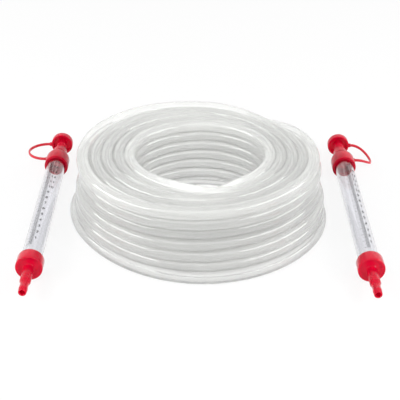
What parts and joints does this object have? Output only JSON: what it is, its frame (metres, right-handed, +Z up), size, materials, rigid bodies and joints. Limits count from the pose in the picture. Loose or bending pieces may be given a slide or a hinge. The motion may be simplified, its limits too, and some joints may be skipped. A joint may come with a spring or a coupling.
{
  "type": "water level hose tool",
  "caption": "Water level: a coil of clear hose with loose clear sight tubes, each with a red nozzle cap, a domed top cap and a ribbed stopper on a strap, for comparing heights.",
  "frame": {"origin": "on the floor, in the middle of the whole set as it lies", "axes": "+Y along the sight tubes from nozzle to stopper, +X from the left tube to the right one, +Z up"},
  "size_m": [0.3414, 0.2746, 0.0657],
  "materials": {
    "hose": "clear soft plastic, slightly milky",
    "sight_tube": "clear rigid plastic with a printed scale",
    "red_plastic": "glossy red moulding",
    "red_strap": "soft red moulding"
  },
  "bodies": {
    "hose": {"hose_turns": "hose", "hose_core": "hose", "hose_eye_end": "hose", "hose_back_end": "hose"},
    "left_tube": {"left_sight_tube": "sight_tube", "left_hose_cap": "red_plastic", "left_top_cap": "red_plastic", "left_strap": "red_strap"},
    "left_plug": {"left_stopper": "red_plastic"},
    "right_tube": {"right_sight_tube": "sight_tube", "right_hose_cap": "red_plastic", "right_top_cap": "red_plastic", "right_strap": "red_strap"},
    "right_plug": {"right_stopper": "red_plastic"}
  },
  "joints": [
    {"name": "left_tube_lift", "type": "slide", "parent": "hose", "child": "left_tube", "axis": [0, 0, 1], "range_m": [0, 0.12]},
    {"name": "right_tube_lift", "type": "slide", "parent": "hose", "child": "right_tube", "axis": [0, 0, 1], "range_m": [0, 0.12]},
    {"name": "left_plug_slide", "type": "slide", "parent": "left_tube", "child": "left_plug", "axis": [0, 1, 0], "range_m": [-0.019, 0.006], "deforming": ["left_strap"]},
    {"name": "right_plug_slide", "type": "slide", "parent": "right_tube", "child": "right_plug", "axis": [0, 1, 0], "range_m": [-0.019, 0.006], "deforming": ["right_strap"]}
  ]
}
